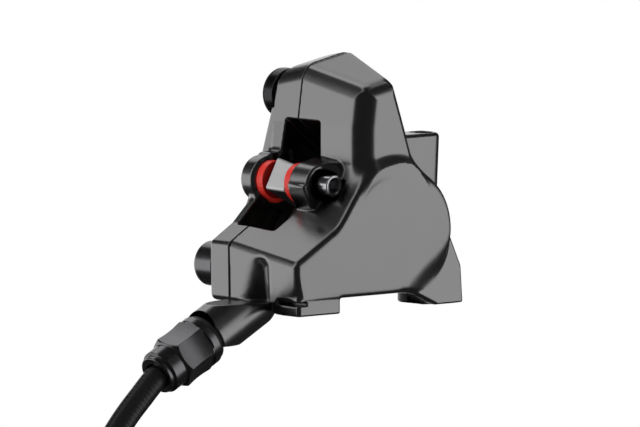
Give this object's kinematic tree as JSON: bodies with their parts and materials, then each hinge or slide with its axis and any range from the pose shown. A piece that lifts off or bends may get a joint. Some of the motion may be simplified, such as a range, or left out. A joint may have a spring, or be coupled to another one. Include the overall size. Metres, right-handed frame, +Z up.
{
  "type": "bicycle disc brake caliper",
  "caption": "Flat-mount hydraulic disc brake caliper for a bicycle: a two-part body with opposed pistons, pads on a pin, and its hose.",
  "frame": {"origin": "midway between the two mounting holes, on the plane the feet stand on", "axes": "+X from the hose end to the rear foot, along the line of the mounting holes; +Y inboard, towards the wheel; +Z up, away from the frame"},
  "size_m": [0.0958, 0.0386, 0.1528],
  "materials": {
    "anodised_body": "semi-gloss dark graphite",
    "dark_steel": "satin black",
    "black_pin": "gloss black",
    "bare_steel": "brushed",
    "piston_steel": "ground",
    "red_plate": "satin paint",
    "lining": "coarse resin compound",
    "seal_rubber": "matte",
    "hose_cover": "satin",
    "black_plastic": "satin",
    "brass": "machined"
  },
  "bodies": {
    "caliper": {"outboard_body": "anodised_body", "inboard_body": "anodised_body", "upper_body_bolt": "dark_steel", "lower_body_bolt": "dark_steel", "crossover_seal": "seal_rubber", "outboard_piston_seal": "seal_rubber", "inboard_piston_seal": "seal_rubber", "pad_spring": "bare_steel", "pad_pin": "black_pin", "pad_pin_ring": "seal_rubber", "pad_pin_clip": "bare_steel", "bleed_screw": "dark_steel", "bleed_screw_seal": "seal_rubber", "hose_nut": "dark_steel", "hose_port_seal": "seal_rubber", "hose_olive": "brass", "hose_insert": "brass", "hose": "hose_cover", "hose_coil": "hose_cover", "hose_tie": "black_plastic", "hose_end_nut": "dark_steel", "hose_end_olive": "brass", "hose_end_insert": "brass", "hose_end_cap": "black_plastic"},
    "outboard_piston": {"outboard_piston": "piston_steel"},
    "inboard_piston": {"inboard_piston": "piston_steel"},
    "outboard_pad": {"outboard_pad_plate": "red_plate", "outboard_pad_lining": "lining"},
    "inboard_pad": {"inboard_pad_plate": "red_plate", "inboard_pad_lining": "lining"}
  },
  "joints": [
    {"name": "outboard_piston_slide", "type": "slide", "parent": "caliper", "child": "outboard_piston", "axis": [0, 1, 0], "range_m": [0, 0.0012]},
    {"name": "inboard_piston_slide", "type": "slide", "parent": "caliper", "child": "inboard_piston", "axis": [0, -1, 0], "range_m": [0, 0.0012]},
    {"name": "outboard_pad_slide", "type": "slide", "parent": "caliper", "child": "outboard_pad", "axis": [0, 1, 0], "range_m": [0, 0.0012], "deforming": ["pad_spring"]},
    {"name": "inboard_pad_slide", "type": "slide", "parent": "caliper", "child": "inboard_pad", "axis": [0, -1, 0], "range_m": [0, 0.0012]}
  ],
  "couplings": [
    {"joint": "inboard_piston_slide", "follows": "outboard_piston_slide", "ratio": 1},
    {"joint": "outboard_pad_slide", "follows": "outboard_piston_slide", "ratio": 1},
    {"joint": "inboard_pad_slide", "follows": "outboard_piston_slide", "ratio": 1}
  ]
}
